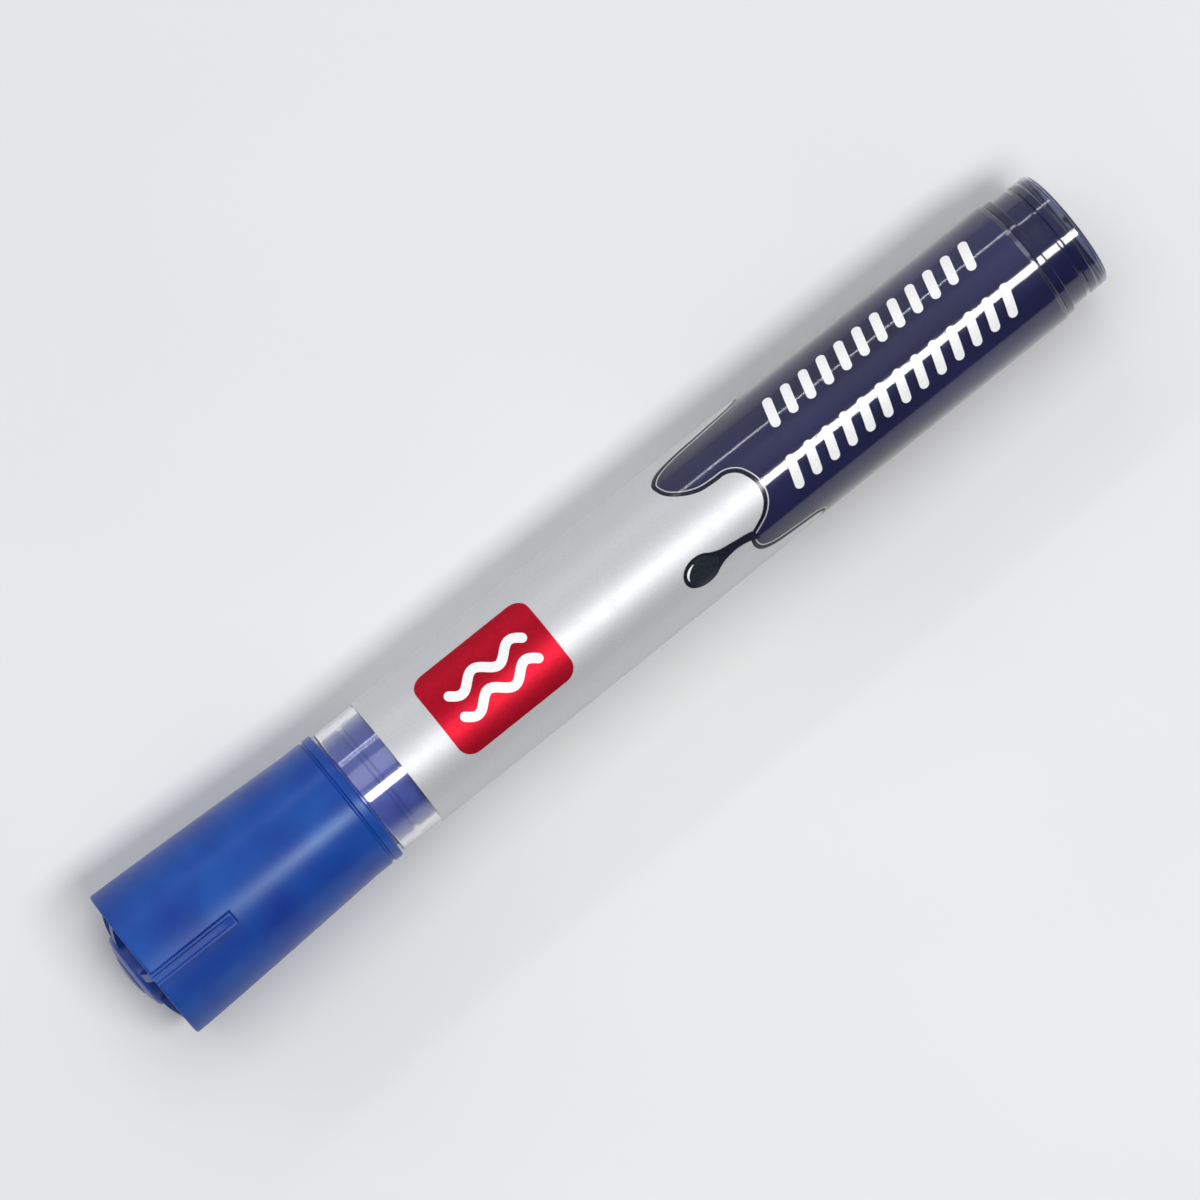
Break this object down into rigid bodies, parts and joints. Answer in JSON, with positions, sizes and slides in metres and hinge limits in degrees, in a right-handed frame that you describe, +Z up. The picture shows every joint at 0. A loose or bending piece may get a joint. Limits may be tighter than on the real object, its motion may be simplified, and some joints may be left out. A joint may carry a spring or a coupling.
{
  "type": "liquid-ink felt tip marker",
  "caption": "Clear-barrelled liquid-ink felt tip marker with a flared push-on ventilated cap, silver printed sleeve and ink window.",
  "frame": {"origin": "on the ground plane, under the middle of the marker's length, with the marker lying down and its cap on", "axes": "+X along the marker from cap to tail, +Z up, the print facing up and slightly toward -Y"},
  "size_m": [0.1374, 0.0196, 0.02],
  "materials": {
    "cap_plastic": "translucent blue moulded plastic, softly frosted",
    "cup_plastic": "blue moulded plastic, satin",
    "nib_fibre": "bonded fibre soaked with blue ink",
    "holder_plastic": "blue moulded plastic, glossy",
    "clear_plastic": "clear moulded tube, polished",
    "plug_plastic": "clear moulded stopper with a faint blue-grey tint",
    "collector_plastic": "pale moulded plastic, pleated",
    "wick_fibre": "fibre rod soaked with blue ink",
    "ink": "dark blue liquid ink",
    "label": "silver-white printed film, satin metallic",
    "badge": "red printed panel, gloss",
    "dark_print": "near-black printed line",
    "white_print": "white screen print"
  },
  "bodies": {
    "pen": {"nib": "nib_fibre", "nib_holder": "holder_plastic", "barrel": "clear_plastic", "tail_plug": "plug_plastic", "collector": "collector_plastic", "feed_wick": "wick_fibre", "ink_charge": "ink", "label_film": "label", "badge_print": "badge", "drop_print": "dark_print", "bar_print": "white_print"},
    "cap": {"cap_shell": "cap_plastic", "inner_cap": "cup_plastic"}
  },
  "joints": [
    {"name": "cap_pull", "type": "slide", "parent": "pen", "child": "cap", "axis": [-1, 0, 0], "range_m": [0, 0.045]}
  ]
}
